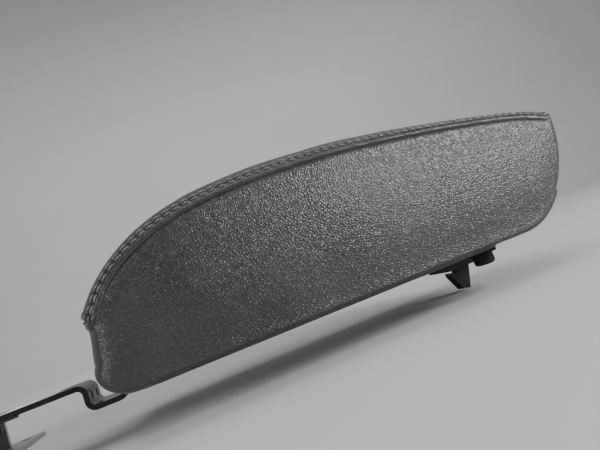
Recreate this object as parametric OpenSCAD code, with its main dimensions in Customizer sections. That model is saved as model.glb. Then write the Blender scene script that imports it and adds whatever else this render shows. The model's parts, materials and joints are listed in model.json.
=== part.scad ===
// Padded armrest lid with a gooseneck hinge arm, a latch hook, rubber buffers and its hinge bracket.
// Millimetres. +X runs from the hinge to the nose, +Y across, +Z up. The origin is the centre of
// the bracket's screw pattern, on its underside. The lid is modelled closed.

/* [Padded lid] */
// length of the lid, without the arm
lid_length = 324; // [240:1:420]
// width of the lid
lid_width = 124; // [90:1:200]
// height of the lid at its crest
lid_height = 101; // [60:1:130]
// how far the side face is set in from the crest line
top_round = 23; // [8:1:35]
// how far the lower edge rolls in under the lid
base_round = 4.5; // [2:0.5:12]
// how far the rear rounds off towards the sides
rear_round = 15; // [6:1:30]
// how far the nose rounds off towards the sides
nose_round = 16; // [6:1:30]
// thickness of the leather with its backing
leather = 1.6; // [1:0.1:3]
// thickness of the foam over the carrier
foam = 11; // [4:1:20]

/* [Hinge arm] */
// width of the steel strip
arm_width = 28; // [20:1:50]
// thickness of the steel strip
arm_thickness = 3; // [2:0.1:4]
// distance from the hinge axis to the back of the lid
arm_reach = 72; // [50:1:120]
// height of the step that brings the strip under the lid
arm_step = 13.4; // [9:0.1:25]

/* [Hinge] */
// radius of the hinge pin
pin_radius = 3; // [2:0.1:5]
// height of the hinge axis above the fixing face
pin_height = 16; // [12:1:30]
// how far the lid opens, in degrees
open_angle = 92; // [90:1:98]
// screw spacing of the bracket along the lid
fixing_x = 28; // [20:1:60]
// screw spacing of the bracket across the lid
fixing_y = 48; // [36:1:80]
// radius of the four fixing holes
fixing_hole = 2.75; // [2:0.05:4]

/* [Underside] */
// thickness of the base cover
cover_thickness = 3; // [2:0.5:5]
// depth of the block that carries the latch hook
latch_block = 8; // [3:0.5:12]
// how far the latch hook reaches below the lid
hook_drop = 25; // [18:0.5:35]
// width of the latch hook
hook_width = 8; // [5:0.5:15]
// radius of a rubber buffer
buffer_radius = 6.5; // [4:0.5:12]
// how far a buffer stands below the lid
buffer_drop = 9; // [4:0.5:12]

/* [Hidden] */
$fn = 48;

gap = 0.3;
running_fit = 0.05;
beyond = 40;

// Shape of the lid's side outline, as fractions of its length and height.
crest_at = 0.489;
nose_at = 0.72;
base_end = 0.826;
shoulder_at = 0.462;
corner = 19;
// How square the cross-section is over the crest, along the base, at the rear and at the nose.
// 2 is an ellipse.
crest_square = 2.9;
base_square = 5;
rear_square = 2;
nose_square = 4;
// Where the seam lies between the crest line (0) and the side face (1).
seam_at = 0.69;
side_steps = 6;

// The strip's knuckle sits on the pin through a bush.
bush_wall = 1;
knuckle_in = pin_radius + bush_wall + running_fit;
knuckle_out = knuckle_in + arm_thickness;
half_strip = arm_thickness / 2;
bend = arm_thickness * 1.5;
strip_top = pin_height + knuckle_out;
strip_run = strip_top - half_strip;
strip_low = strip_run - arm_step;
under_gap = 2;
lid_x = arm_reach;
lid_z = strip_low + half_strip + under_gap;
// The strip steps down just behind the lid and rises again inside it, to a flat tab.
step_back = 11;
rise_in = 10;
step_x = lid_x - step_back;
rise_x = lid_x + rise_in;
tab_length = 50;
tab_z = lid_z + cover_thickness + gap + half_strip;
tab_end = rise_x + tab_length;
knuckle_gap = 12;
groove_y = 6;
groove_r = 2;
groove_depth = 0.8;

cheek = 2.5;
cheek_reach = 8;
bush_flange = 1;
cheek_gap = 0.4;
cheek_in = arm_width / 2 + bush_flange + cheek_gap;
cheek_out = cheek_in + cheek;
plate_x = fixing_x + 4 * fixing_hole + 5;
plate_y = fixing_y + 4 * fixing_hole + 3;
wire = 0.9;
coil = 5.2;
spring_turns = 6;

// The upright strip leans on the stop's pad when the lid is fully open.
stop_height = 11;
stop_half = 3;
stop_width = 16;
stop_thickness = 3;
stop_stem = 2;
lean = open_angle - 90;
pad_face = -knuckle_out / cos(lean) - (stop_height + stop_half) * tan(lean) - 0.2;
tab_face = pad_face - stop_thickness;

pin_flange = 2;
pin_neck = 0.6;
pin_end = 3;
clip_groove = 1.1;
clip_thickness = 0.9;
clip_mouth = 3.2;

cover_x = lid_x + 12;
cover_length = lid_length * 0.75;
cover_half = lid_width / 2 - 8;
cover_corner = 22;
cover_proud = 0.5;
cover_face = lid_z - cover_proud;
cover_top_z = cover_face + cover_thickness;

screw_r = 2;
screw_head = 3.8;
head_height = 1.6;
screw_slack = 0.3;
insert_r = 3.2;
insert_length = 9;
post_r = 5;
post_height = 16;
// How deep the screws bite into the carrier, and how far their pilot holes go past the cover.
cover_bite = 12;
latch_bite = 14;
pilot_r = screw_r - 0.1;
thread_r = screw_r - 0.15;
arm_screw_y = 8;
arm_screw_spots = [for (share = [0.34, 0.8], y = [-1, 1]) [rise_x + share * tab_length, y * arm_screw_y]];
cover_screw_x = [for (share = [0.1, 0.5, 0.9]) cover_x + share * cover_length];
cover_screw_y = cover_half - 9;
cover_screw_spots = [for (x = cover_screw_x, y = [-1, 1]) [x, y * cover_screw_y]];

carrier_inset = leather + foam + 0.4;
carrier_wall = 2.5;
carrier_opening = 14;
foam_opening = 5;

hook_x = lid_x + 0.783 * lid_length;
latch_front = 4;
latch_length = 28;
latch_half = 14;
latch_screw_back = 16;
latch_screw_y = 9;
latch_screw_spots = [for (y = [-1, 1]) [hook_x + latch_front - latch_screw_back, y * latch_screw_y]];
buffer_x = lid_x + 0.74 * lid_length;
buffer_y = lid_width * 0.34;
buffer_flange = 2;
buffer_rim = 3;
buffer_dome = 2;

function bezier(p, t) =
  pow(1 - t, 3) * p[0] + 3 * pow(1 - t, 2) * t * p[1] + 3 * (1 - t) * t * t * p[2] + pow(t, 3) * p[3];

function stretch(p, n) = [for (i = [1:n]) bezier(p, i / n)];

// The closed outline of a lid of length l and height h, anticlockwise from the front of its base.
function outline(l, h) =
  let (
    base_front = [base_end * l, 0],
    nose = [l, nose_at * h],
    crest = [crest_at * l, h],
    shoulder = [0.008 * l, shoulder_at * h],
    rear = [0, corner],
    base_rear = [corner, 0]
  )
  concat(
    [base_front],
    stretch([base_front, base_front + [0.098 * l, 0], [l, 0.39 * h], nose], 9),
    stretch([nose, [l, 0.875 * h], [0.586 * l, h], crest], 9),
    stretch([crest, [0.248 * l, h], [0.092 * l, 0.933 * h], shoulder], 9),
    stretch([shoulder, [0.004 * l, 0.27 * h], [0, 0.2 * h], rear], 2),
    stretch([rear, rear * 0.45, base_rear * 0.45, base_rear], 4)
  );

nose_index = 9;
shoulder_index = 27;

// A point of the outline, moved part of the way (0 to 1) towards the flat side face.
function towards_side(p, l, h, part) =
  let (side = [
    rear_round + p.x * (l - rear_round - nose_round) / l,
    base_round + p.y * (h - top_round - base_round) / h
  ])
  p + (side - p) * part;

// 1 where the outline runs along the lid, 0 where it stands upright.
function flatness(o, i) =
  let (
    n = len(o),
    d = o[(i + 1) % n] - o[(i + n - 1) % n]
  )
  abs(d.x) / norm(d);

function ring_point(o, i, l, h, half, angle) =
  let (
    flat_square = o[i].y < corner ? base_square : crest_square,
    end_square = o[i].x < l / 2 ? rear_square : nose_square,
    power = 2 / (end_square + (flat_square - end_square) * flatness(o, i)),
    part = abs(angle) == 90 ? 1 : 1 - pow(cos(angle), power),
    p = towards_side(o[i], l, h, part)
  )
  [p.x, sign(angle) * half * pow(sin(abs(angle)), power), p.y];

// The whole padded shape, set in all round by inset and with its bottom at floor.
module lid_form(inset, floor) {
  l = lid_length - 2 * inset;
  h = lid_height - inset - floor;
  o = outline(l, h);
  n = len(o);
  rings = 2 * side_steps;
  points = [
    for (k = [0:rings], i = [0:n - 1])
      ring_point(o, i, l, h, lid_width / 2 - inset, 90 * (k - side_steps) / side_steps)
  ];
  walls = [
    for (k = [0:rings - 1], i = [0:n - 1])
      let (a = k * n + i, b = k * n + (i + 1) % n)
      each [[a, b, a + n], [b, b + n, a + n]]
  ];
  near = [for (i = [n - 1:-1:0]) i];
  far = [for (i = [0:n - 1]) rings * n + i];
  translate([lid_x + inset, 0, lid_z + floor])
    polyhedron(points = points, faces = concat(walls, [near, far]));
}

// Everything above the seam, which runs level across the rear and the nose.
module above_seam() {
  o = outline(lid_length, lid_height);
  arch = [
    for (i = [nose_index:shoulder_index])
      towards_side(o[i], lid_length, lid_height, seam_at)
  ];
  last = len(arch) - 1;
  translate([lid_x, lid_width, lid_z])
    rotate([90, 0, 0])
      linear_extrude(2 * lid_width)
        polygon(concat(
          arch,
          [
            [-beyond, arch[last].y],
            [-beyond, lid_height + beyond],
            [lid_length + beyond, lid_height + beyond],
            [lid_length + beyond, arch[0].y]
          ]
        ));
}

// The plan of the base cover, grown by extra.
module cover_plan(extra) {
  r = cover_corner + extra;
  front = cover_x + cover_length - cover_corner;
  for (x = [cover_x + cover_corner, front], y = [-1, 1])
    translate([x, y * (cover_half - cover_corner)])
      circle(r);
  translate([cover_x - extra, cover_corner - cover_half])
    square([cover_length + 2 * extra, 2 * (cover_half - cover_corner)]);
  translate([cover_x + cover_corner, -cover_half - extra])
    square([front - cover_x - cover_corner, 2 * (cover_half + extra)]);
}

module cover_pocket() {
  translate([0, 0, lid_z - beyond])
    linear_extrude(beyond + cover_thickness - cover_proud + gap)
      cover_plan(gap);
}

// The way in for the arm and its tab, between the base cover and the ribs.
module arm_notch() {
  start = rise_x - bend - arm_thickness;
  translate([start, -arm_width / 2 - gap, lid_z - beyond])
    cube([tab_end + gap - start, arm_width + 2 * gap, tab_z + half_strip - lid_z + beyond]);
}

module cylinder_y(r, y0, y1) {
  translate([0, y1, 0])
    rotate([90, 0, 0])
      cylinder(r = r, h = y1 - y0);
}

module at_pin() {
  translate([0, 0, pin_height])
    children();
}

module drill(spots, r, z0, z1) {
  for (s = spots)
    translate([s.x, s.y, z0])
      cylinder(r = r, h = z1 - z0);
}

// ---- hinge ----

module cheek_plate(y) {
  difference() {
    union() {
      at_pin() cylinder_y(cheek_reach, y, y + cheek);
      translate([-cheek_reach, y, 0])
        cube([2 * cheek_reach, cheek, pin_height]);
    }
    at_pin() cylinder_y(pin_radius + running_fit, y - 1, y + cheek + 1);
  }
}

module hinge_bracket() {
  stop_tab = stop_width + 4;
  stop_top = stop_height + 2 * stop_half;
  fixings = [for (x = [-1, 1], y = [-1, 1]) [x * fixing_x / 2, y * fixing_y / 2]];
  color("dimgray")
    difference() {
      union() {
        translate([-plate_x / 2, -plate_y / 2, 0])
          cube([plate_x, plate_y, cheek]);
        cheek_plate(cheek_in);
        cheek_plate(-cheek_out);
        translate([tab_face - cheek, -stop_tab / 2, 0])
          cube([cheek, stop_tab, pin_height + stop_top]);
      }
      drill(fixings, fixing_hole, -1, cheek + 1);
      at_pin()
        translate([tab_face - cheek - 1, 0, stop_height])
          rotate([0, 90, 0])
            cylinder(r = stop_stem + 0.1, h = cheek + 2);
    }
}

module hinge_pin() {
  groove_y = cheek_out + 0.2;
  color("silver")
    at_pin() {
      cylinder_y(pin_radius + pin_flange, -cheek_out - pin_flange, -cheek_out);
      cylinder_y(pin_radius, -cheek_out, groove_y);
      cylinder_y(pin_radius - pin_neck, groove_y, groove_y + clip_groove);
      cylinder_y(pin_radius, groove_y + clip_groove, cheek_out + pin_end);
    }
}

module pin_clip() {
  y0 = cheek_out + 0.3;
  reach = pin_radius + 4;
  color("gray")
    difference() {
      at_pin() cylinder_y(pin_radius + pin_flange + 0.2, y0, y0 + clip_thickness);
      at_pin() cylinder_y(pin_radius - pin_neck + running_fit, y0 - 1, y0 + clip_thickness + 1);
      translate([-clip_mouth / 2, y0 - 1, pin_height - reach])
        cube([clip_mouth, clip_thickness + 2, reach]);
    }
}

module torsion_spring() {
  pitch = 2 * wire + 0.15;
  leg = wire - 0.15;
  leg_length = 20;
  leg_up = strip_run - half_strip - wire - pin_height;
  leg_x = sqrt(coil * coil - leg_up * leg_up);
  last = (spring_turns - 1) * pitch / 2;
  color("slategray")
    at_pin() {
      for (i = [0:spring_turns - 1])
        translate([0, i * pitch - last, 0])
          rotate([90, 0, 0])
            rotate_extrude()
              translate([coil, 0])
                circle(wire);
      translate([leg_x, -last, leg_up])
        rotate([0, 90, 0])
          cylinder(r = leg, h = leg_length);
      translate([coil, last, cheek + 0.1 - pin_height])
        cylinder(r = leg, h = pin_height - cheek);
    }
}

// A rubber pad whose stem is pushed through the bracket's upright tab, with a button behind it.
module open_stop() {
  button = 1.5;
  color("black")
    at_pin()
      translate([tab_face, 0, stop_height]) {
        translate([0, -stop_width / 2, -stop_half])
          cube([stop_thickness, stop_width, 2 * stop_half]);
        rotate([0, -90, 0]) {
          translate([0, 0, -1])
            cylinder(r = stop_stem, h = cheek + 1.2);
          translate([0, 0, cheek + 0.1])
            cylinder(r = stop_stem + 1.4, h = button);
        }
      }
}

// ---- arm ----

function turn(centre, r, from, to) = [
  for (i = [0:6])
    let (a = from + (to - from) * i / 6)
    centre + r * [cos(a), sin(a)]
];

// One edge of the strip's side view, offset to its upper side by side = 1 and its lower by -1.
function strip_edge(side) =
  let (d = side * half_strip)
  concat(
    [[0, strip_run + d]],
    turn([step_x - bend, strip_run - bend], bend + d, 90, 0),
    turn([step_x + bend, strip_low + bend], bend - d, 180, 270),
    turn([rise_x - bend, strip_low + bend], bend - d, 270, 360),
    turn([rise_x + bend, tab_z - bend], bend + d, 180, 90),
    [[tab_end, tab_z + d]]
  );

module strip() {
  lower = strip_edge(-1);
  last = len(lower) - 1;
  translate([0, arm_width / 2, 0])
    rotate([90, 0, 0])
      linear_extrude(arm_width)
        polygon(concat(strip_edge(1), [for (i = [last:-1:0]) lower[i]]));
}

module stiffening_grooves() {
  start = 22;
  finish = step_x - bend;
  outside = groove_r - groove_depth;
  for (y = [-groove_y, groove_y]) {
    translate([start, y, strip_top + outside]) {
      rotate([0, 90, 0])
        cylinder(r = groove_r, h = finish - start);
      sphere(r = groove_r);
    }
    translate([step_x + half_strip + outside, y, strip_low + bend])
      cylinder(r = groove_r, h = arm_step - 2 * bend);
  }
}

module hinge_arm() {
  color("black")
    difference() {
      union() {
        strip();
        at_pin() cylinder_y(knuckle_out, -arm_width / 2, arm_width / 2);
      }
      at_pin() cylinder_y(knuckle_in, -arm_width, arm_width);
      translate([-beyond, -knuckle_gap / 2, -beyond])
        cube([beyond + knuckle_out + 2, knuckle_gap, 3 * beyond]);
      stiffening_grooves();
      drill(arm_screw_spots, screw_r + screw_slack, tab_z - arm_thickness, tab_z + arm_thickness);
    }
}

module arm_bush(side) {
  inner = knuckle_gap / 2;
  outer = arm_width / 2;
  y0 = side > 0 ? inner : -outer;
  flange_y = side > 0 ? outer : -outer - bush_flange;
  difference() {
    union() {
      cylinder_y(knuckle_in, y0, y0 + outer - inner);
      cylinder_y(knuckle_out, flange_y, flange_y + bush_flange);
    }
    cylinder_y(pin_radius + running_fit, -arm_width, arm_width);
  }
}

module arm_bushes() {
  color("ivory")
    at_pin() {
      arm_bush(1);
      arm_bush(-1);
    }
}

module arm_inserts() {
  z0 = tab_z + half_strip + 0.1;
  color("goldenrod")
    difference() {
      drill(arm_screw_spots, insert_r, z0, z0 + insert_length);
      drill(arm_screw_spots, screw_r + running_fit, z0 - 1, z0 + insert_length + 1);
    }
}

module arm_screws() {
  head_z = tab_z - half_strip;
  color("gray") {
    drill(arm_screw_spots, screw_r, head_z - 1, head_z + arm_thickness + insert_length - 1);
    drill(arm_screw_spots, screw_head, head_z - 2, head_z);
  }
}

// A blank film in three strips, on the flats beside and between the stiffening grooves.
module arm_label() {
  start = 18;
  length = 28;
  margin = 1;
  film = 0.2;
  slot = groove_r + 0.1;
  color("white")
    translate([start, 0, strip_top])
      difference() {
        translate([0, margin - arm_width / 2, 0])
          cube([length, arm_width - 2 * margin, film]);
        for (y = [-groove_y, groove_y])
          translate([-1, y - slot, -1])
            cube([length + 2, 2 * slot, film + 2]);
      }
}

// ---- padded lid ----

// Posts for the arm's inserts and for the screws of the cover and the latch, joined by ribs.
module carrier_ribs() {
  rib = 3;
  rib_overlap = 4;
  rib_length = tab_length - rib_overlap;
  insert_post = insert_r + 2.2;
  for (y = [-arm_screw_y, arm_screw_y])
    translate([rise_x + 6, y - rib / 2, tab_z + half_strip])
      cube([rib_length, rib, lid_height]);
  for (x = cover_screw_x)
    translate([x - rib / 2, -lid_width / 2, cover_top_z + post_height - rib_overlap])
      cube([rib, lid_width, lid_height]);
  drill(arm_screw_spots, insert_post, tab_z + half_strip, tab_z + half_strip + post_height);
  drill(cover_screw_spots, post_r, cover_top_z, cover_top_z + post_height);
  drill(latch_screw_spots, post_r, cover_top_z, cover_top_z + lid_height);
}

// A hollow moulding whose floor is open behind the base cover.
module carrier_shell() {
  difference() {
    lid_form(carrier_inset, cover_thickness);
    lid_form(carrier_inset + carrier_wall, cover_thickness + carrier_wall);
    translate([0, 0, lid_z - 1])
      linear_extrude(cover_thickness + carrier_wall + 2)
        cover_plan(-carrier_opening);
  }
}

module lid_carrier() {
  tab_top = tab_z + half_strip;
  color("dimgray")
    difference() {
      union() {
        carrier_shell();
        intersection() {
          lid_form(carrier_inset + 1, cover_thickness);
          carrier_ribs();
        }
      }
      arm_notch();
      drill(arm_screw_spots, insert_r, tab_top - 1, tab_top + insert_length + 0.2);
      drill(arm_screw_spots, screw_r + 0.4, tab_top, tab_top + insert_length + 4);
      drill(cover_screw_spots, pilot_r, cover_top_z - 1, cover_top_z + cover_bite);
      drill(latch_screw_spots, pilot_r, cover_top_z - 1, cover_top_z + latch_bite);
    }
}

// Foam over the carrier, down the sides and a little way in under its floor.
module foam_core() {
  skin = leather + 0.1;
  color("khaki")
    difference() {
      lid_form(skin, skin);
      lid_form(leather + foam, cover_thickness - 0.4);
      translate([0, 0, lid_z])
        linear_extrude(cover_thickness + base_round)
          cover_plan(-foam_opening);
      cover_pocket();
      arm_notch();
    }
}

module leather_shell() {
  difference() {
    lid_form(0, 0);
    lid_form(leather, leather);
    cover_pocket();
    arm_notch();
  }
}

module cover_side() {
  color([0.16, 0.16, 0.17])
    difference() {
      leather_shell();
      above_seam();
    }
}

module cover_top() {
  color([0.14, 0.14, 0.15])
    intersection() {
      leather_shell();
      above_seam();
    }
}

// ---- underside ----

module base_cover() {
  slot = [rise_x - bend - arm_thickness, rise_x + bend + arm_thickness];
  color([0.1, 0.1, 0.11])
    difference() {
      translate([0, 0, cover_face])
        linear_extrude(cover_thickness)
          cover_plan(0);
      translate([slot[0] - beyond, -arm_width / 2 - gap, lid_z - beyond])
        cube([slot[1] - slot[0] + beyond, arm_width + 2 * gap, 2 * beyond]);
      drill(arm_screw_spots, screw_head + gap, lid_z - 5, lid_z + 5);
      drill(cover_screw_spots, screw_r + screw_slack, lid_z - 5, lid_z + 5);
      drill(cover_screw_spots, screw_head + gap, lid_z - 5, cover_face + head_height);
      drill(latch_screw_spots, screw_r + screw_slack, lid_z - 5, lid_z + 5);
    }
}

module cover_screws() {
  color("gray") {
    drill(cover_screw_spots, screw_head, cover_face + 0.2, cover_face + head_height);
    drill(cover_screw_spots, thread_r, cover_face + 1, cover_face + cover_bite);
  }
}

// Side view of the hook below its block: it leans back, with a barb behind and a notched tip.
module hook_profile() {
  lean = 6.4;
  tip = 5.5;
  barb = 17.5;
  stem = 11.5;
  barb_top = latch_block + 2.2;
  polygon([
    [0, -latch_block + 1],
    [-lean, -hook_drop],
    [-lean - tip * 0.45, -hook_drop + 3],
    [-lean - tip, -hook_drop + 1],
    [-barb, -barb_top - 2.5],
    [-barb, -barb_top],
    [-stem, -barb_top - 1.4],
    [-stem, -latch_block + 1]
  ]);
}

module latch_hook() {
  head_z = cover_face - latch_block;
  color([0.06, 0.06, 0.06])
    difference() {
      union() {
        translate([hook_x + latch_front - latch_length, -latch_half, head_z])
          cube([latch_length, 2 * latch_half, latch_block]);
        translate([hook_x, hook_width / 2, cover_face])
          rotate([90, 0, 0])
            linear_extrude(hook_width)
              hook_profile();
      }
      drill(latch_screw_spots, screw_r + screw_slack, head_z - 1, cover_face + 1);
      drill(latch_screw_spots, screw_head + gap, head_z - 1, head_z + head_height);
    }
}

module latch_screws() {
  head_z = cover_face - latch_block;
  color("gray") {
    drill(latch_screw_spots, screw_head, head_z + 0.2, head_z + head_height);
    drill(latch_screw_spots, thread_r, head_z + 1, cover_face + latch_bite);
  }
}

// A rubber buffer with a wide flange and a rounded foot.
module buffer(side) {
  foot = buffer_drop - buffer_dome;
  sole = buffer_radius - buffer_dome;
  color([0.05, 0.05, 0.05])
    translate([buffer_x, side * buffer_y, cover_face])
      rotate([180, 0, 0]) {
        cylinder(r = buffer_radius + buffer_rim, h = buffer_flange);
        rotate_extrude()
          union() {
            square([buffer_radius, foot]);
            square([sole, buffer_drop]);
            translate([sole, foot])
              intersection() {
                circle(buffer_dome);
                square(buffer_dome);
              }
          }
      }
}

module buffer_right() {
  buffer(-1);
}

module buffer_left() {
  buffer(1);
}

hinge_bracket();
hinge_pin();
pin_clip();
torsion_spring();
open_stop();
hinge_arm();
arm_bushes();
arm_inserts();
arm_screws();
arm_label();
lid_carrier();
foam_core();
cover_side();
cover_top();
base_cover();
cover_screws();
latch_hook();
latch_screws();
buffer_right();
buffer_left();
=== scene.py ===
"""Looks for the padded armrest lid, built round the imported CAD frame.

Everything is in metres in the row frame: +X from the hinge to the nose, +Y across, +Z up.
The padded lid's surface comes from the same outline formulas as the CAD. Its columns run round
the side outline, and its rows run from one side face over the crest to the other.
"""

import json
import math

import bpy
import numpy as np
from mathutils import Matrix, Vector
from mathutils.bvhtree import BVHTree
from mathutils.kdtree import KDTree


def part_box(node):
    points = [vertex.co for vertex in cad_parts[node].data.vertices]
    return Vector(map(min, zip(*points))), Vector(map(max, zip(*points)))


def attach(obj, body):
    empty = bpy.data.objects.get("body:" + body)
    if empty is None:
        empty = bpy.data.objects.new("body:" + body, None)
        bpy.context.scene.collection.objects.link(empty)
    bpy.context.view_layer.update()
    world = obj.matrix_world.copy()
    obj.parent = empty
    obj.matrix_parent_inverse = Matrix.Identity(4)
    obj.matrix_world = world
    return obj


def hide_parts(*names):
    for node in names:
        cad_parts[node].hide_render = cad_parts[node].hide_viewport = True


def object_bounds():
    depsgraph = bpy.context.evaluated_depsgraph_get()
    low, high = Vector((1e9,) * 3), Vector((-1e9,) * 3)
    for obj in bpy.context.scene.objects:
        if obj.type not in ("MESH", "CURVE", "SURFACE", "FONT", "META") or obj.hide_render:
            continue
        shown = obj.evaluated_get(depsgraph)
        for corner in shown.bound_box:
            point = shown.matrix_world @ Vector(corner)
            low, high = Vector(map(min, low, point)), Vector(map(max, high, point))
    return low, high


MM = 0.001

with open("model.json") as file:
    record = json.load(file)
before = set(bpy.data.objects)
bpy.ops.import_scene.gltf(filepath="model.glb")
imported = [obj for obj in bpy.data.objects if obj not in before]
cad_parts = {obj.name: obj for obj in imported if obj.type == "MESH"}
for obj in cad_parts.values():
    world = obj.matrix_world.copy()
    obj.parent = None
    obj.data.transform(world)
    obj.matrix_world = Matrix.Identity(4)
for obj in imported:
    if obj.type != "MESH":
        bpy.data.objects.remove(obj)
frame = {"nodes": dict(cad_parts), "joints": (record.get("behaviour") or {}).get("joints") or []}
cad_low, cad_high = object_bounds()

# ---------------------------------------------------------------- sizes, from the CAD boxes

side_low, side_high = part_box("cover_side")
top_low, top_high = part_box("cover_top")
cover_low, cover_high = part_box("base_cover")
LID_BACK = min(side_low.x, top_low.x)
LENGTH = max(side_high.x, top_high.x) - LID_BACK
HALF = side_high.y
COVER_FACE = cover_low.z
COVER_PROUD = 0.5 * MM
LID_BASE = COVER_FACE + COVER_PROUD
HEIGHT = top_high.z - LID_BASE

# The outline's proportions are the CAD's own.
CREST_AT = 0.489
NOSE_AT = 0.72
BASE_END = 0.826
SHOULDER_AT = 0.462
CORNER = 19 * MM
TOP_ROUND = 23 * MM
BASE_ROUND = 4.5 * MM
REAR_ROUND = 15 * MM
NOSE_ROUND = 16 * MM
CREST_SQUARE = 2.9
BASE_SQUARE = 5.0
REAR_SQUARE = 2.0
NOSE_SQUARE = 4.0
SEAM_AT = 0.69

# The seam: a double-stitched band of folded leather, measured up from its lower crease.
BAND_WIDTH = 10.2 * MM
BAND_HEIGHT = 0.8 * MM
JOINT_AT = 4.4 * MM
LOWER_ROW = 3.1 * MM
UPPER_ROW = 6.6 * MM
STITCH_PITCH = 5.3 * MM
STITCH_LENGTH = 4.3 * MM
SEAM_STEP = 0.6 * MM
REAR_DROP = 7 * MM

PUFF_CAP = 3 * MM
PUFF_FRAMES = 20
COVER_CORNER = 22 * MM


# ---------------------------------------------------------------- the padded shape

def bezier(controls, count):
    """Points at even distances along a cubic, without its first one."""
    t = np.linspace(0, 1, 400)[:, None]
    p = np.array(controls, float)
    curve = (1 - t) ** 3 * p[0] + 3 * (1 - t) ** 2 * t * p[1] + 3 * (1 - t) * t * t * p[2] + t**3 * p[3]
    run = np.concatenate([[0], np.cumsum(np.linalg.norm(np.diff(curve, axis=0), axis=1))])
    at = np.linspace(0, run[-1], count + 1)[1:]
    return np.stack([np.interp(at, run, curve[:, k]) for k in range(2)], 1)


def outline(step):
    """The closed side outline with points about step apart, and the nose's and shoulder's indices."""
    length, height = LENGTH, HEIGHT
    base_front = (BASE_END * length, 0)
    nose = (length, NOSE_AT * height)
    crest = (CREST_AT * length, height)
    shoulder = (0.008 * length, SHOULDER_AT * height)
    rear = (0, CORNER)
    base_rear = (CORNER, 0)
    stretches = [
        [base_front, (base_front[0] + 0.098 * length, 0), (length, 0.39 * height), nose],
        [nose, (length, 0.875 * height), (0.586 * length, height), crest],
        [crest, (0.248 * length, height), (0.092 * length, 0.933 * height), shoulder],
        [shoulder, (0.004 * length, 0.27 * height), (0, 0.2 * height), rear],
        [rear, (0, CORNER * 0.45), (CORNER * 0.45, 0), base_rear],
        [base_rear, (base_front[0] * 0.4, 0), (base_front[0] * 0.7, 0), base_front],
    ]
    points = []
    ends = []
    for controls in stretches:
        rough = np.linalg.norm(np.diff(np.array(controls, float), axis=0), axis=1).sum()
        points.append(bezier(controls, max(3, round(rough / step))))
        ends.append(sum(len(p) for p in points) - 1)
    return np.vstack(points), ends[0], ends[2]


def squareness(points):
    """How square the cross-section is at each outline point: 2 is an ellipse."""
    along = np.roll(points, -1, 0) - np.roll(points, 1, 0)
    flat = np.abs(along[:, 0]) / np.linalg.norm(along, axis=1)
    square = np.where(points[:, 1] < CORNER, BASE_SQUARE, CREST_SQUARE)
    end = np.where(points[:, 0] < LENGTH / 2, REAR_SQUARE, NOSE_SQUARE)
    return end + (square - end) * flat


def towards_side(points, part):
    """Outline points moved part of the way, 0 to 1, towards the flat side face."""
    side = np.stack([
        REAR_ROUND + points[:, 0] * (LENGTH - REAR_ROUND - NOSE_ROUND) / LENGTH,
        BASE_ROUND + points[:, 1] * (HEIGHT - TOP_ROUND - BASE_ROUND) / HEIGHT,
    ], 1)
    return points + (side - points) * part


def ring(points, part, sign):
    """One row round the lid, part of the way from the crest line (0) to the side face (1)."""
    square = squareness(points)
    across = (1 - (1 - part) ** square) ** (1 / square)
    moved = towards_side(points, part)
    x = LID_BACK + moved[:, 0]
    z = LID_BASE + moved[:, 1]
    return np.stack([x, sign * HALF * across, z], 1)


def face_ring(points, share, sign):
    """One row on a side face, share of the way from its middle line (0) to its edge (1)."""
    edge = ring(points, 1.0, sign)
    middle = edge.copy()
    low, high = edge[:, 0].min(), edge[:, 0].max()
    reach = 0.3 * HEIGHT
    middle[:, 0] = np.clip(edge[:, 0], low + reach, high - reach)
    middle[:, 2] = LID_BASE + 0.42 * HEIGHT
    return middle + (edge - middle) * share


def section_parts(spacing, fine_spacing, below, above):
    """Values of part from the side face's edge to the crest, close together around the seam."""
    fine = np.linspace(0, 1, 4000) ** 2
    across = HALF * (1 - (1 - fine) ** CREST_SQUARE) ** (1 / CREST_SQUARE)
    run = np.concatenate([[0], np.cumsum(np.hypot(np.diff(across), TOP_ROUND * np.diff(fine)))])
    seam = np.interp(SEAM_AT, fine, run)
    stops = [0.0]
    while stops[-1] < run[-1]:
        near = seam - above < stops[-1] < seam + below
        stops.append(stops[-1] + (fine_spacing if near else spacing))
    stops = np.array(stops) * run[-1] / stops[-1]
    return np.interp(stops, run, fine)[::-1]


def lid_rows(points, spacing, fine_spacing):
    """All rows from the near face's middle to the far face's, with each row's part."""
    parts = section_parts(spacing, fine_spacing, below=3 * MM, above=12 * MM)
    shares = np.linspace(0, 1, max(3, round(0.04 / spacing)))[:-1]
    rows = [face_ring(points, s, -1) for s in shares] + [ring(points, p, -1) for p in parts]
    labels = [1.0] * len(shares) + list(parts)
    rows += [ring(points, p, 1) for p in parts[-2::-1]] + [face_ring(points, s, 1) for s in shares[::-1]]
    labels += list(parts[-2::-1]) + [1.0] * len(shares)
    return np.array(rows), np.array(labels)


def grid_faces(rows, columns):
    """Quads of a grid that is closed round its columns."""
    r, c = np.meshgrid(np.arange(rows - 1), np.arange(columns), indexing="ij")
    a = r * columns + c
    b = r * columns + (c + 1) % columns
    return np.stack([a, b, b + columns, a + columns], -1).reshape(-1, 4)


def make_mesh(name, vertices, faces):
    mesh = bpy.data.meshes.new(name)
    mesh.from_pydata([tuple(v) for v in vertices], [], [tuple(int(i) for i in f) for f in faces])
    mesh.validate()
    mesh.update()
    mesh.polygons.foreach_set("use_smooth", [True] * len(mesh.polygons))
    piece = bpy.data.objects.new(name, mesh)
    bpy.context.scene.collection.objects.link(piece)
    return piece


def smoothstep(value, low, high):
    t = np.clip((value - low) / (high - low), 0, 1)
    return t * t * (3 - 2 * t)


def bell(value, width):
    return np.exp(-((value / width) ** 2))


# ---------------------------------------------------------------- padding, by cloth simulation

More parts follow.
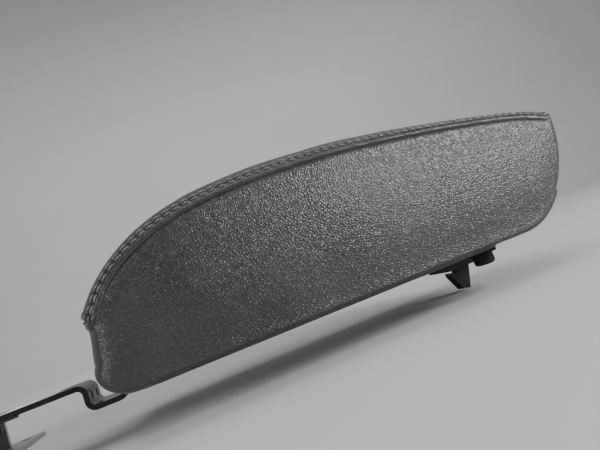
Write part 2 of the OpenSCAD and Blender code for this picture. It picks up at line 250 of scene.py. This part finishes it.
def puff_field():
    """Lets an even copy of the skin swell under air pressure, held along the seam and the base.
    Returns its rest points and how far each one moved, no further than PUFF_CAP."""
    points, nose, shoulder = outline(6 * MM)
    rows, labels = lid_rows(points, 6 * MM, 4 * MM)
    skin = make_mesh("puff", rows.reshape(-1, 3), grid_faces(len(rows), rows.shape[1]))
    even = skin.modifiers.new("even", "REMESH")
    even.mode = "VOXEL"
    even.voxel_size = 5 * MM
    graph = bpy.context.evaluated_depsgraph_get()
    evened = bpy.data.meshes.new_from_object(skin.evaluated_get(graph))
    skin.modifiers.clear()
    skin.data = evened
    rest = np.array([v.co for v in evened.vertices])
    seam = KDTree(len(rows) * rows.shape[1])
    for i, p in enumerate(seam_loop(rows, labels, nose, shoulder)):
        seam.insert(p, i)
    seam.balance()
    held = [i for i, p in enumerate(rest) if p[2] < LID_BASE + 5 * MM or seam.find(p)[2] < 5 * MM]
    skin.vertex_groups.new(name="held").add(held, 1.0, "REPLACE")
    cloth = skin.modifiers.new("cloth", "CLOTH")
    settings = cloth.settings
    settings.quality = 6
    settings.mass = 0.3
    settings.tension_stiffness = 3
    settings.compression_stiffness = 3
    settings.shear_stiffness = 2
    settings.bending_stiffness = 0.2
    settings.vertex_group_mass = "held"
    settings.use_pressure = True
    settings.uniform_pressure_force = 5
    settings.effector_weights.gravity = 0
    cloth.point_cache.frame_start = 1
    cloth.point_cache.frame_end = PUFF_FRAMES
    scene = bpy.context.scene
    for number in range(1, PUFF_FRAMES + 1):
        scene.frame_set(number)
    swollen = skin.evaluated_get(bpy.context.evaluated_depsgraph_get())
    moved = np.array([v.co for v in swollen.data.vertices]) - rest
    scene.frame_set(1)
    bpy.data.objects.remove(skin)
    far = np.linalg.norm(moved, axis=1)
    moved *= (np.minimum(far, PUFF_CAP) / np.maximum(far, 1e-9))[:, None]
    return rest, moved


def spread_field(rest, moved, targets, reach):
    """The field's value at each target, averaged over the rest points within reach."""
    tree = KDTree(len(rest))
    for i, p in enumerate(rest):
        tree.insert(p, i)
    tree.balance()
    out = np.zeros_like(targets)
    for k, target in enumerate(targets):
        near = tree.find_n(target, 10)
        weight = np.array([math.exp(-((d / reach) ** 2)) + 1e-6 for _, _, d in near])
        index = [i for _, i, _ in near]
        out[k] = (moved[index] * weight[:, None]).sum(0) / weight.sum()
    return out


def row_normals(rows):
    """Unit outward normals of a grid of rows closed round its columns."""
    along = np.roll(rows, -1, 1) - np.roll(rows, 1, 1)
    across = np.gradient(rows, axis=0)
    normal = np.cross(across, along)
    size = np.linalg.norm(normal, axis=2, keepdims=True)
    return normal / np.maximum(size, 1e-12)


def soft_waves(points, seed, wavelength):
    """A smooth, repeatable unevenness between -1 and 1."""
    source = np.random.default_rng(seed)
    total = np.zeros(len(points))
    for _ in range(7):
        direction = source.normal(size=3)
        direction /= np.linalg.norm(direction)
        scale = 2 * math.pi / (wavelength * source.uniform(0.7, 1.6))
        total += np.sin(points @ direction * scale + source.uniform(0, 2 * math.pi))
    return total / 7


# ---------------------------------------------------------------- the two leather panels

def padded_rows():
    """The finished skin as a grid: the CAD's shape, swollen, with the panel ends tucked in.
    The crease along the seam comes back on its own, as a push for each point."""
    points, nose, shoulder = outline(2.2 * MM)
    rows, labels = lid_rows(points, 3.2 * MM, 0.55 * MM)
    shape = rows.shape
    flat = rows.reshape(-1, 3)
    rest, moved = puff_field()
    flat = flat + spread_field(rest, moved, flat, reach=7 * MM)
    normals = row_normals(flat.reshape(shape)).reshape(-1, 3)
    part = np.repeat(labels, shape[1])
    column = np.tile(np.arange(shape[1]), shape[0])
    in_arch = (column >= nose) & (column <= shoulder)
    below = seam_height(flat[:, 0], part, points, nose, shoulder) - flat[:, 2]
    rear = 1 - smoothstep(flat[:, 0] - LID_BACK, 8 * MM, 30 * MM)
    above = smoothstep(-below, 0.5 * MM, 4 * MM) * (1 - smoothstep(-below, 8 * MM, 30 * MM))
    tuck = rear * (0.6 * MM * smoothstep(below, -1.0 * MM, 2.5 * MM) - 0.3 * MM * above)
    tuck *= smoothstep(flat[:, 2] - LID_BASE, 4 * MM, 34 * MM)
    from_ends = np.minimum(column - nose, shoulder - column)
    sink = 0.9 * MM * smoothstep(from_ends, 2, 22) * smoothstep(SEAM_AT - part, 0.12, 0.4)
    crease = 1.1 * MM * bell(part - SEAM_AT - 0.018, 0.022)
    crease *= in_arch * smoothstep(from_ends, 0, 6)
    uneven = 0.3 * MM * soft_waves(flat, 5, 45 * MM)
    flat = flat + normals * (uneven - tuck - sink)[:, None]
    push = -normals * crease[:, None]
    return flat.reshape(shape), push, labels, nose, shoulder


def seam_height(x, part, points, nose, shoulder):
    """Height of the seam above each x along the side, and across the rear for inner parts."""
    arch = towards_side(points[nose : shoulder + 1], SEAM_AT)[::-1]
    along = np.interp(x - LID_BACK, arch[:, 0], arch[:, 1])
    middle = points[shoulder, 1]
    across = middle + (arch[0, 1] - middle) * part / SEAM_AT
    return LID_BASE + np.where(part < SEAM_AT, across, along) - rear_drop(x)


def rear_drop(x):
    """How much lower than the CAD's the seam runs round the rear corners."""
    return REAR_DROP * (1 - smoothstep(x - LID_BACK, 8 * MM, 26 * MM))


def under_cover(centres):
    """True for faces that lie behind the base cover, well inside its edge."""
    margin = 3 * MM
    radius = COVER_CORNER - margin
    low = np.array(cover_low)[:2] + margin + radius
    high = np.array(cover_high)[:2] - margin - radius
    away = np.maximum(np.maximum(low - centres[:, :2], centres[:, :2] - high), 0)
    return (np.linalg.norm(away, axis=1) < radius) & (centres[:, 2] < LID_BASE + 6 * MM)


def leather_panels():
    """The side wrap and the top panel, parted along the seam."""
    rows, push, labels, nose, shoulder = padded_rows()
    count = rows.shape[1]
    vertices = rows.reshape(-1, 3)
    faces = grid_faces(len(rows), count)
    part = np.repeat(labels, count)[faces].mean(1)
    column = faces[:, 0] % count
    on_top = (part < SEAM_AT) & (column >= nose) & (column < shoulder)
    hidden = under_cover(vertices[faces].mean(1))
    surface = BVHTree.FromPolygons([tuple(v) for v in vertices], [tuple(map(int, f)) for f in faces])
    vertices = vertices + push
    pieces = []
    for name, chosen in (("side_leather", ~on_top & ~hidden), ("top_leather", on_top)):
        used = np.unique(faces[chosen])
        renumber = np.zeros(len(vertices), int)
        renumber[used] = np.arange(len(used))
        pieces.append(make_mesh(name, vertices[used], renumber[faces[chosen]]))
    loop = seam_loop(rows, labels, nose, shoulder)
    return pieces[0], pieces[1], surface, loop


def seam_loop(rows, labels, nose, shoulder):
    """The seam's line round the lid: near arch, nose, far arch and rear, evenly spaced."""
    near = int(np.argmin(np.abs(labels[: len(labels) // 2] - SEAM_AT)))
    far = len(labels) - 1 - near
    arch = rows[near, nose : shoulder + 1][::-1]
    front = rows[near : far + 1, nose]
    back_arch = rows[far, nose : shoulder + 1]
    back = rows[near : far + 1, shoulder][::-1]
    loop = np.vstack([arch[:-1], front[:-1], back_arch[:-1], back[:-1]])
    loop[:, 2] -= rear_drop(loop[:, 0])
    loop = even_loop(loop, SEAM_STEP)
    return even_loop(round_corners(loop, 150), SEAM_STEP)


def even_loop(loop, step):
    """The same closed line with points at even distances of about step."""
    closed = np.vstack([loop, loop[:1]])
    run = np.concatenate([[0], np.cumsum(np.linalg.norm(np.diff(closed, axis=0), axis=1))])
    at = np.linspace(0, run[-1], round(run[-1] / step) + 1)[:-1]
    return np.stack([np.interp(at, run, closed[:, k]) for k in range(3)], 1)


def round_corners(loop, passes):
    """The closed line, smoothed a little in each pass."""
    for _ in range(passes):
        loop = (np.roll(loop, 1, 0) + 2 * loop + np.roll(loop, -1, 0)) / 4
    return loop


# ---------------------------------------------------------------- seam band and stitches

def seam_frames(loop, surface):
    """Point, direction and upward side direction at each step of the seam."""
    ahead = np.roll(loop, -1, 0) - np.roll(loop, 1, 0)
    ahead /= np.linalg.norm(ahead, axis=1)[:, None]
    on, normals = [], []
    for p in loop:
        hit, normal, _, _ = surface.find_nearest(Vector(p))
        on.append(hit)
        normals.append(normal)
    on = np.array(on)
    normals = round_corners(np.array(normals), 40)
    middle = np.array([LID_BACK + LENGTH / 2, 0, LID_BASE + HEIGHT / 2])
    facing = np.sign(((on - middle) * normals).sum(1))
    normals *= facing[:, None]
    normals /= np.linalg.norm(normals, axis=1)[:, None]
    upward = np.cross(normals, ahead)
    upward /= np.linalg.norm(upward, axis=1)[:, None]
    if upward[len(loop) // 8][2] < 0:
        upward = -upward
    return on, ahead, upward


def on_surface(points, surface):
    """Nearest surface points, and normals that face away from the lid's middle."""
    middle = Vector((LID_BACK + LENGTH / 2, 0, LID_BASE + HEIGHT / 2))
    out, normals = [], []
    for p in points:
        hit, normal, _, _ = surface.find_nearest(Vector(p))
        if (hit - middle).dot(normal) < 0:
            normal = -normal
        out.append(hit)
        normals.append(normal)
    return np.array(out), np.array(normals)


def band_profile():
    """(distance across, height) of the folded band, from below its crease to where it meets the top."""
    d = np.concatenate([
        np.linspace(-1.0, 0.5, 9), np.linspace(0.9, 2.1, 4), np.linspace(2.4, 3.8, 7),
        np.linspace(4.0, 5.0, 8), np.linspace(5.3, 7.9, 10), np.linspace(8.4, 10.2, 5),
    ]) * MM
    rise = smoothstep(d, -0.8 * MM, 0.2 * MM)
    fall = 1 - smoothstep(d, BAND_WIDTH - 2.4 * MM, BAND_WIDTH)
    joint = bell(d - JOINT_AT, 0.28 * MM)
    lip = bell(d - JOINT_AT - 0.9 * MM, 0.5 * MM)
    height = (BAND_HEIGHT + 0.2 * MM * lip) * rise * fall - 1.1 * MM * joint
    height[0] = -1.2 * MM
    height[-1] = -0.4 * MM
    return d, height


def stitch_dips(run, d):
    """Depth of the leather round the needle holes and under the thread of both rows."""
    phase = np.abs((run / STITCH_PITCH) % 1.0)
    from_hole = np.minimum(phase, 1 - phase) * STITCH_PITCH
    depth = np.zeros_like(run)
    for row in (LOWER_ROW, UPPER_ROW):
        hole = 0.9 * MM * bell(from_hole, 0.55 * MM) * bell(d - row, 0.55 * MM)
        pull = 0.25 * MM * bell(from_hole, 1.3 * MM) * bell(d - row, 1.5 * MM)
        depth += hole + pull + 0.1 * MM * bell(d - row, 0.6 * MM)
    return depth


def seam_band(loop, surface):
    """The raised double fold of leather that follows the seam."""
    on, _, upward = seam_frames(loop, surface)
    across, height = band_profile()
    run = loop_run(loop)
    wobble = 0.3 * MM * np.sin(run / (2.3 * MM)) * np.sin(run / (13 * MM))
    columns = []
    for d, h in zip(across, height):
        edge = bell(d, 0.9 * MM)
        shifted = on + upward * (d + edge * wobble)[:, None]
        base, normals = on_surface(shifted, surface)
        columns.append(base + normals * (h - stitch_dips(run, d))[:, None])
    grid = np.array(columns)
    return make_mesh("seam_band", grid.reshape(-1, 3), grid_faces(len(across), len(loop)))


def loop_run(loop):
    """Distance round the seam at each of its points, scaled so that the stitches come out even."""
    total = np.linalg.norm(loop[1] - loop[0]) * len(loop)
    count = round(total / STITCH_PITCH)
    return np.arange(len(loop)) * count * STITCH_PITCH / len(loop)


def stitch_shape(length, width):
    """Two-ply thread between two holes: a twisted capsule that dives at both ends."""
    rings, sides, twists = 19, 10, 1.25
    vertices = []
    for k in range(rings):
        t = k / (rings - 1) * 2 - 1
        radius = width / 2 * math.sqrt(max(0.0, 1 - abs(t) ** 4.0)) + 0.02 * MM
        lift = 0.28 * MM - 0.8 * MM * abs(t) ** 4
        for side in range(sides):
            angle = 2 * math.pi * side / sides
            ply = 0.8 + 0.2 * math.cos(2 * (angle - math.pi * twists * t))
            across = radius * ply * math.cos(angle)
            vertices.append((t * length / 2, across, lift + radius * ply * math.sin(angle)))
    faces = [
        (k * sides + a, k * sides + (a + 1) % sides, (k + 1) * sides + (a + 1) % sides, (k + 1) * sides + a)
        for k in range(rings - 1)
        for a in range(sides)
    ]
    faces.append(tuple(range(sides))[::-1])
    faces.append(tuple((rings - 1) * sides + a for a in range(sides)))
    return np.array(vertices), faces


def stitch_row(name, loop, surface, across):
    """One row of thread stitches along the band, from hole to hole."""
    on, ahead, upward = seam_frames(loop, surface)
    count = round(loop_run(loop)[-1] / STITCH_PITCH)
    shape, shape_faces = stitch_shape(STITCH_LENGTH, 1.0 * MM)
    source = np.random.default_rng(3)
    vertices, faces = [], []
    for k in range(count):
        at = int((k + 0.5) * len(loop) / count) % len(loop)
        centre, normals = on_surface([on[at] + upward[at] * across], surface)
        out = Vector(normals[0])
        side = out.cross(Vector(ahead[at])).normalized()
        turn = Matrix.Rotation(source.normal(0, 0.04), 3, out)
        axes = np.array([turn @ side.cross(out), turn @ side, out])
        start = len(vertices)
        vertices.extend(centre[0] + normals[0] * (BAND_HEIGHT - 0.1 * MM) + shape @ axes)
        faces.extend([tuple(start + i for i in f) for f in shape_faces])
    return make_mesh(name, vertices, faces)


# ---------------------------------------------------------------- materials

class Nodes:
    """A material's node tree, with short calls for the few nodes that the finishes need."""

    def __init__(self, name):
        self.material = bpy.data.materials.new(name)
        self.material.use_nodes = True
        self.tree = self.material.node_tree
        self.shader = self.tree.nodes["Principled BSDF"]
        self.place = self.add("ShaderNodeTexCoord").outputs["Object"]

    def add(self, kind, **inputs):
        node = self.tree.nodes.new(kind)
        for key, value in inputs.items():
            self.set(node, key.replace("_", " "), value)
        return node

    def set(self, node, socket, value):
        if isinstance(value, bpy.types.NodeSocket):
            self.tree.links.new(value, node.inputs[socket])
        else:
            node.inputs[socket].default_value = value

    def noise(self, scale, detail=4.0, place=None):
        node = self.add("ShaderNodeTexNoise", Scale=scale, Detail=detail, Vector=place or self.place)
        return node.outputs["Fac"]

    def cells(self, scale, feature="F1", place=None):
        node = self.tree.nodes.new("ShaderNodeTexVoronoi")
        node.feature = feature
        self.set(node, "Scale", scale)
        self.set(node, "Vector", place or self.place)
        return node.outputs["Distance"]

    def stretched(self, scale):
        node = self.add("ShaderNodeMapping", Scale=scale, Vector=self.place)
        return node.outputs["Vector"]

    def maths(self, operation, a, b):
        node = self.tree.nodes.new("ShaderNodeMath")
        node.operation = operation
        self.set(node, 0, a)
        self.set(node, 1, b)
        return node.outputs[0]

    def span(self, value, low, high, to_low=0.0, to_high=1.0):
        node = self.tree.nodes.new("ShaderNodeMapRange")
        ends = {"From Min": low, "From Max": high, "To Min": to_low, "To Max": to_high}
        for socket, number in ends.items():
            self.set(node, socket, number)
        self.set(node, "Value", value)
        return node.outputs["Result"]

    def mix(self, share, first, second):
        node = self.tree.nodes.new("ShaderNodeMix")
        node.data_type = "RGBA"
        self.set(node, 0, share)
        self.set(node, 6, (*first, 1) if isinstance(first, tuple) else first)
        self.set(node, 7, (*second, 1) if isinstance(second, tuple) else second)
        return node.outputs[2]

    def bump(self, height, strength, distance, below=None):
        node = self.add("ShaderNodeBump", Strength=strength, Distance=distance, Height=height)
        if below is not None:
            self.set(node, "Normal", below)
        return node.outputs["Normal"]

    def finish(self, **sockets):
        names = {"colour": "Base Color", "specular": "Specular IOR Level", "sheen": "Sheen Weight"}
        for key, value in sockets.items():
            socket = names.get(key, key.capitalize())
            if isinstance(value, tuple) and len(value) == 3:
                value = (*value, 1)
            self.set(self.shader, socket, value)
        return self.material


def leather(name, colour, grain=1.0):
    """Coated leather: fine pebbles with painted shade in the creases between them, and a soft satin shine."""
    n = Nodes(name)
    warp = n.add("ShaderNodeTexNoise", Scale=300.0, Detail=2.0, Vector=n.place)
    bent = n.tree.nodes.new("ShaderNodeVectorMath")
    bent.operation = "MULTIPLY_ADD"
    n.set(bent, 0, warp.outputs["Color"])
    n.set(bent, 1, (0.0016, 0.0016, 0.0016))
    n.set(bent, 2, n.place)
    place = bent.outputs[0]
    pebbles = n.span(n.cells(720.0, "DISTANCE_TO_EDGE", place), 0.0, 0.4)
    small = n.noise(1900.0, 3.0)
    broad = n.noise(26.0, 3.0)
    folds = n.noise(190.0, 6.0, n.stretched((1.0, 1.0, 1.7)))
    height = n.maths("ADD", pebbles, n.maths("MULTIPLY", small, 0.35))
    height = n.maths("ADD", height, n.maths("MULTIPLY", folds, 1.3))
    # The colour darkens towards the pebbles' edges: painted shade in the creases between them.
    crease_shaded_colour = n.mix(n.span(pebbles, 0.0, 0.6), tuple(c * 0.55 for c in colour), colour)
    worn = n.mix(n.span(broad, 0.35, 0.7, 0.0, 0.3), crease_shaded_colour, tuple(c * 1.4 for c in colour))
    return n.finish(
        colour=worn,
        roughness=n.span(n.maths("ADD", broad, n.maths("MULTIPLY", small, 0.4)), 0.4, 1.0, 0.33, 0.43),
        specular=0.5,
        normal=n.bump(height, 0.5 * grain, 0.00034),
    )


def thread(name, colour):
    """Bonded polyester thread with a plied twist, darker between the plies as painted shade."""
    n = Nodes(name)
    twist = n.tree.nodes.new("ShaderNodeTexWave")
    twist.bands_direction = "DIAGONAL"
    n.set(twist, "Scale", 420.0)
    n.set(twist, "Distortion", 1.5)
    n.set(twist, "Vector", n.place)
    ply = twist.outputs["Fac"]
    return n.finish(
        # The colour darkens between the plies: painted shade in the twist's grooves.
        colour=n.mix(ply, tuple(c * 0.55 for c in colour), colour),
        roughness=0.5,
        sheen=0.2,
        normal=n.bump(ply, 0.5, 0.0001),
    )


def painted_steel(name):
    """Glossy black paint over pressed steel, with a slight orange peel and dust."""
    n = Nodes(name)
    dust = n.span(n.noise(160.0, 6.0), 0.5, 0.75)
    peel = n.noise(900.0, 2.0)
    return n.finish(
        colour=n.mix(dust, (0.006, 0.006, 0.007), (0.022, 0.022, 0.023)),
        roughness=n.span(dust, 0.0, 1.0, 0.3, 0.45),
        specular=0.35,
        normal=n.bump(peel, 0.12, 0.0001),
    )


def bare_steel(name, colour, roughness):
    """Plated or oiled steel with fine drawing marks and a few dull patches."""
    n = Nodes(name)
    marks = n.noise(900.0, 4.0, n.stretched((1.0, 7.0, 1.0)))
    patches = n.noise(120.0, 4.0)
    return n.finish(
        colour=n.mix(patches, tuple(c * 0.75 for c in colour), colour),
        metallic=1.0,
        roughness=n.span(n.maths("ADD", marks, patches), 0.7, 1.3, roughness - 0.1, roughness + 0.12),
        normal=n.bump(marks, 0.15, 0.00008),
    )


def rubber(name):
    """Moulded black rubber with a faint bloom."""
    n = Nodes(name)
    bloom = n.noise(220.0, 5.0)
    return n.finish(
        colour=n.mix(n.span(bloom, 0.4, 0.7), (0.006, 0.006, 0.006), (0.014, 0.014, 0.014)),
        roughness=n.span(bloom, 0.3, 0.7, 0.5, 0.68),
        specular=0.15,
        normal=n.bump(n.noise(1800.0, 3.0), 0.2, 0.0001),
    )


def moulded(name, colour, roughness, grain):
    """Moulded plastic with a spark-eroded texture."""
    n = Nodes(name)
    spark = n.noise(grain, 4.0)
    broad = n.noise(35.0, 3.0)
    return n.finish(
        colour=n.mix(
            n.span(broad, 0.35, 0.7), tuple(c * 0.85 for c in colour), tuple(c * 1.15 for c in colour)
        ),
        roughness=n.span(spark, 0.3, 0.7, roughness - 0.06, roughness + 0.06),
        specular=0.2,
        normal=n.bump(spark, 0.3, 0.00012),
    )


def brass(name):
    """Knurled brass, slightly dulled."""
    n = Nodes(name)
    knurl = n.cells(1500.0, "DISTANCE_TO_EDGE")
    dull = n.noise(200.0, 4.0)
    return n.finish(
        colour=n.mix(dull, (0.55, 0.38, 0.14), (0.75, 0.57, 0.25)),
        metallic=1.0,
        roughness=n.span(dull, 0.3, 0.7, 0.25, 0.45),
        normal=n.bump(knurl, 0.5, 0.0001),
    )


def label_film(name):
    """Blank matt film with light scuffs."""
    n = Nodes(name)
    scuffs = n.noise(300.0, 6.0, n.stretched((1.0, 5.0, 1.0)))
    return n.finish(
        colour=n.mix(n.span(scuffs, 0.45, 0.75), (0.9, 0.9, 0.9), (0.7, 0.7, 0.7)),
        roughness=n.span(scuffs, 0.3, 0.7, 0.35, 0.55),
    )


# ---------------------------------------------------------------- hard parts

def bevelled(node, width, material):
    """A CAD node with a small rounding on its edges and a finish."""
    piece = frame["nodes"][node]
    edge = piece.modifiers.new("edge", "BEVEL")
    edge.width = width
    edge.segments = 2
    edge.limit_method = "ANGLE"
    edge.angle_limit = math.radians(35)
    edge.harden_normals = True
    dress(piece, material)


def dress(piece, material):
    piece.data.materials.clear()
    piece.data.materials.append(material)


def coil_spring(material):
    """A true helix in place of the CAD's plain rings, with its two straight legs."""
    low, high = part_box("torsion_spring")
    wire = 0.88 * MM
    centre = Vector((0, 0, frame["joints"][0]["pos_m"][2]))
    mean = centre.x - low.x - 0.9 * MM
    turns, per_turn = 5, 40
    last = turns * per_turn + per_turn // 4
    width = high.y - low.y - 2 * wire
    leg_up = 3.2 * MM
    start = math.asin(leg_up / mean)
    path = [Vector((high.x - 0.4 * MM, low.y + wire, centre.z + leg_up))]
    for k in range(last + 1):
        angle = start + 2 * math.pi * k / per_turn
        y = low.y + wire + width * k / last
        path.append(Vector((mean * math.cos(angle), y, centre.z + mean * math.sin(angle))))
    path.append(Vector((path[-1].x, path[-1].y, low.z + wire)))
    curve = bpy.data.curves.new("spring_wire", "CURVE")
    curve.dimensions = "3D"
    curve.bevel_depth = wire
    curve.bevel_resolution = 4
    curve.use_fill_caps = True
    spline = curve.splines.new("POLY")
    spline.points.add(len(path) - 1)
    for point, place in zip(spline.points, path):
        point.co = (*place, 1)
    piece = bpy.data.objects.new("spring_wire", curve)
    bpy.context.scene.collection.objects.link(piece)
    dress(piece, material)
    return piece


# ---------------------------------------------------------------- camera, floor and light

def aim_camera():
    """A phone held close to the near side, looking a little towards the nose and rolled."""
    heading, tilt, roll = math.radians(15.70), math.radians(6.459), math.radians(-20.625)
    forward = Vector((math.sin(heading) * math.cos(tilt), math.cos(heading) * math.cos(tilt), math.sin(tilt)))
    level = forward.cross(Vector((0, 0, 1))).normalized()
    right = level * math.cos(roll) + level.cross(forward) * math.sin(roll)
    up = right.cross(forward).normalized()
    place = Vector((LID_BACK + 60.2 * MM, -HALF - 237 * MM, LID_BASE + 23.2 * MM))
    data = bpy.data.cameras.new("camera")
    data.lens = 27
    data.sensor_width = 36
    data.clip_start = 0.01
    camera = bpy.data.objects.new("camera", data)
    turn = Matrix((right, up, -forward.normalized())).transposed().to_4x4()
    camera.matrix_world = Matrix.Translation(place) @ turn
    bpy.context.scene.collection.objects.link(camera)
    bpy.context.scene.camera = camera


def area_light(name, place, target, size, power, colour=(1, 1, 1)):
    data = bpy.data.lights.new(name, "AREA")
    data.shape = "RECTANGLE"
    data.size, data.size_y = size
    data.energy = power
    data.color = colour
    light = bpy.data.objects.new(name, data)
    place, target = Vector(place), Vector(target)
    light.location = place
    light.rotation_mode = "QUATERNION"
    light.rotation_quaternion = (target - place).to_track_quat("-Z", "Y")
    bpy.context.scene.collection.objects.link(light)


def cove(flat, curve, wall):
    """A round pale floor that sweeps up into a wall on all sides."""
    sides, steps = 96, 16
    profile = [(0.02, 0), (flat * 0.5, 0), (flat, 0)]
    for k in range(1, steps + 1):
        angle = math.pi / 2 * k / steps
        profile.append((flat + curve * math.sin(angle), curve * (1 - math.cos(angle))))
    profile.append((flat + curve, wall))
    turns = [-2 * math.pi * k / sides for k in range(sides)]
    vertices = [(r * math.cos(a), r * math.sin(a), z) for r, z in profile for a in turns]
    faces = [tuple(f) for f in grid_faces(len(profile), sides)]
    faces.append(tuple(reversed(range(sides))))
    return make_mesh("floor", vertices, faces)


def set_stage():
    """A pale seamless cove under soft light."""
    floor = cove(flat=2.0, curve=1.4, wall=3.2)
    floor.location.z = cad_low.z - 1 * MM
    n = Nodes("floor_finish")
    dress(floor, n.finish(
        colour=n.mix(n.noise(6.0, 3.0), (0.44, 0.45, 0.44), (0.48, 0.49, 0.48)),
        roughness=0.6,
    ))
    middle = (LID_BACK + LENGTH / 2, 0, LID_BASE + HEIGHT / 2)
    area_light("overhead", (0.3, -0.1, 1.6), middle, (1.5, 1.2), 15)
    area_light("window", (1.2, -0.95, 0.6), middle, (0.5, 0.5), 33, (0.97, 0.98, 1.0))
    area_light("left", (-1.1, -0.6, 0.4), middle, (0.45, 0.8), 10, (0.95, 0.97, 1.0))
    area_light("backdrop", (0.3, 1.2, 1.7), (0.3, 3.0, 0.6), (2.0, 0.6), 40)
    world = bpy.data.worlds.new("studio")
    world.use_nodes = True
    world.node_tree.nodes["Background"].inputs["Color"].default_value = (0.88, 0.9, 0.9, 1)
    world.node_tree.nodes["Background"].inputs["Strength"].default_value = 0.28
    bpy.context.scene.world = world


# ---------------------------------------------------------------- assembly

def main():
    aim_camera()
    set_stage()

    lid_leather = leather("black_leather", (0.026, 0.025, 0.028))
    # The band's leather is a slightly darker copy of the lid's: painted shade on the folded band.
    band_leather = leather("band_leather", (0.024, 0.024, 0.025), 0.6)
    side, top, surface, loop = leather_panels()
    band = seam_band(loop, surface)
    lower = stitch_row("stitches_lower", loop, surface, LOWER_ROW)
    upper = stitch_row("stitches_upper", loop, surface, UPPER_ROW)
    for piece, material in ((side, lid_leather), (top, lid_leather), (band, band_leather)):
        dress(piece, material)
        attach(piece, "lid")
    twine = thread("thread", (0.13, 0.13, 0.13))
    for piece in (lower, upper):
        dress(piece, twine)
        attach(piece, "lid")
    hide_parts("cover_side", "foam_core")
    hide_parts("cover_top")

    spring = coil_spring(bare_steel("spring_steel", (0.2, 0.2, 0.22), 0.35))
    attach(spring, "bracket")
    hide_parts("torsion_spring")

    black = painted_steel("black_paint")
    soft = rubber("black_rubber")
    bright = bare_steel("bright_steel", (0.62, 0.62, 0.63), 0.32)
    zinc = bare_steel("zinc_steel", (0.45, 0.46, 0.47), 0.4)
    cover = moulded("cover_plastic", (0.10, 0.10, 0.105), 0.5, 1500.0)
    latch = moulded("latch_plastic", (0.010, 0.010, 0.010), 0.38, 1200.0)
    carrier = moulded("carrier_plastic", (0.03, 0.03, 0.03), 0.5, 900.0)
    nylon = moulded("bush_plastic", (0.6, 0.57, 0.48), 0.45, 1400.0)
    finishes = {
        "hinge_bracket": (0.35, zinc),
        "hinge_pin": (0.3, bright),
        "pin_clip": (0.12, bare_steel("clip_steel", (0.25, 0.25, 0.27), 0.35)),
        "open_stop": (0.6, soft),
        "hinge_arm": (0.35, black),
        "arm_bushes": (0.12, nylon),
        "arm_inserts": (0.2, brass("insert_brass")),
        "arm_screws": (0.3, bright),
        "arm_label": (0.02, label_film("label_white")),
        "lid_carrier": (0.0, carrier),
        "base_cover": (0.4, cover),
        "cover_screws": (0.3, bright),
        "latch_hook": (0.35, latch),
        "latch_screws": (0.3, bright),
        "buffer_right": (0.5, soft),
        "buffer_left": (0.5, soft),
    }
    for node, (edge, material) in finishes.items():
        if edge:
            bevelled(node, edge * MM, material)
        else:
            dress(frame["nodes"][node], material)


main()
